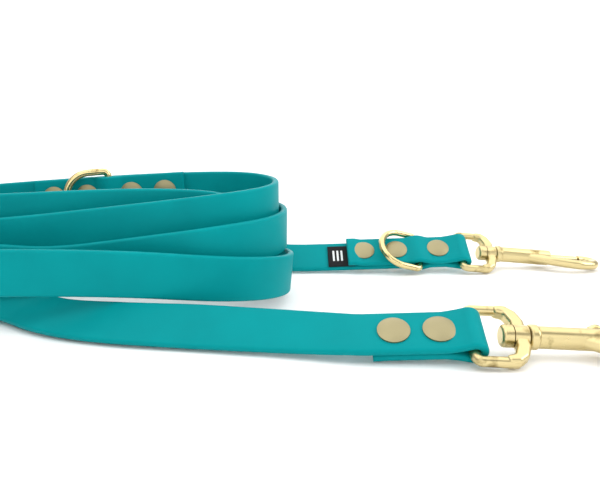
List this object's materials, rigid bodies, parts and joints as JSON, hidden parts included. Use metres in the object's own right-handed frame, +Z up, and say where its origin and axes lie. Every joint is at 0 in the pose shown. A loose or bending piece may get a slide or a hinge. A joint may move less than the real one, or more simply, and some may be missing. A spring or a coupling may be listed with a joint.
{
  "type": "training leash",
  "caption": "Double-ended training leash: coated webbing in an oblong coil, swivel bolt snap riveted in each end, D-rings at mid-length and near one end.",
  "frame": {"origin": "bottom centre of the whole coiled leash, on the surface it lies on", "axes": "+X along the coil towards both snaps, +Y towards the end that has the D-ring, +Z up"},
  "size_m": [0.3258, 0.1306, 0.0493],
  "materials": {
    "strap": "smooth satin coated webbing",
    "overlay": "smooth satin coated webbing",
    "label": "woven tab",
    "end_d_ring": "polished wire",
    "middle_d_ring": "polished wire",
    "front_end_rivet_caps": "satin plated caps",
    "front_end_rivet_posts": "satin plated posts",
    "back_end_rivet_caps": "satin plated caps",
    "back_end_rivet_posts": "satin plated posts",
    "overlay_rivet_caps": "satin plated caps",
    "overlay_rivet_posts": "satin plated posts",
    "front_swivel_eye": "polished casting",
    "front_swivel_pin": "polished",
    "front_hook_body": "polished casting",
    "front_bolt": "polished",
    "front_thumb_stud": "polished",
    "front_bolt_spring": "bright spring wire",
    "back_swivel_eye": "polished casting",
    "back_swivel_pin": "polished",
    "back_hook_body": "polished casting",
    "back_bolt": "polished",
    "back_thumb_stud": "polished",
    "back_bolt_spring": "bright spring wire"
  },
  "bodies": {
    "leash": {"leash_strap": "strap", "ring_overlay": "overlay", "label": "label", "front_end_rivet_caps": "front_end_rivet_caps", "front_end_rivet_posts": "front_end_rivet_posts", "back_end_rivet_caps": "back_end_rivet_caps", "back_end_rivet_posts": "back_end_rivet_posts", "overlay_rivet_caps": "overlay_rivet_caps", "overlay_rivet_posts": "overlay_rivet_posts"},
    "end_ring": {"end_d_ring": "end_d_ring"},
    "middle_ring": {"middle_d_ring": "middle_d_ring"},
    "front_eye": {"front_swivel_eye": "front_swivel_eye"},
    "front_hook": {"front_hook_body": "front_hook_body", "front_swivel_pin": "front_swivel_pin", "front_bolt_spring": "front_bolt_spring"},
    "front_latch": {"front_bolt": "front_bolt", "front_thumb_stud": "front_thumb_stud"},
    "back_eye": {"back_swivel_eye": "back_swivel_eye"},
    "back_hook": {"back_hook_body": "back_hook_body", "back_swivel_pin": "back_swivel_pin", "back_bolt_spring": "back_bolt_spring"},
    "back_latch": {"back_bolt": "back_bolt", "back_thumb_stud": "back_thumb_stud"}
  },
  "joints": [
    {"name": "end_ring_hinge", "type": "hinge", "parent": "leash", "child": "end_ring", "pos_m": [0.07587, 0.05372, 0.00845], "axis": [-0.027, 0.8189, 0.5733], "range_deg": [0, 140]},
    {"name": "middle_ring_hinge", "type": "hinge", "parent": "leash", "child": "middle_ring", "pos_m": [-0.06364, 0.04161, 0.03775], "axis": [-0.0612, 0, 0.9981], "range_deg": [0, 150]},
    {"name": "front_eye_hinge", "type": "hinge", "parent": "leash", "child": "front_eye", "pos_m": [0.07186, -0.05203, 0.00745], "axis": [0.0286, 0.8908, 0.4534], "range_deg": [-90, 90]},
    {"name": "front_swivel", "type": "hinge", "parent": "front_eye", "child": "front_hook", "pos_m": [0.07186, -0.05203, 0.00745], "axis": [0.999, -0.0094, -0.0444], "continuous": true},
    {"name": "front_bolt_slide", "type": "slide", "parent": "front_hook", "child": "front_latch", "axis": [-0.999, 0.0094, 0.0444], "range_m": [0, 0.0065], "stiffness_N_per_m": 150, "springref_m": -0.004, "deforming": ["front_bolt_spring"]},
    {"name": "back_eye_hinge", "type": "hinge", "parent": "leash", "child": "back_eye", "pos_m": [0.09596, 0.05396, 0.00905], "axis": [-0.027, 0.8189, 0.5733], "range_deg": [-90, 90]},
    {"name": "back_swivel", "type": "hinge", "parent": "back_eye", "child": "back_hook", "pos_m": [0.09596, 0.05396, 0.00905], "axis": [0.9899, 0.1016, -0.0985], "continuous": true},
    {"name": "back_bolt_slide", "type": "slide", "parent": "back_hook", "child": "back_latch", "axis": [-0.9899, -0.1016, 0.0985], "range_m": [0, 0.0065], "stiffness_N_per_m": 150, "springref_m": -0.004, "deforming": ["back_bolt_spring"]}
  ]
}
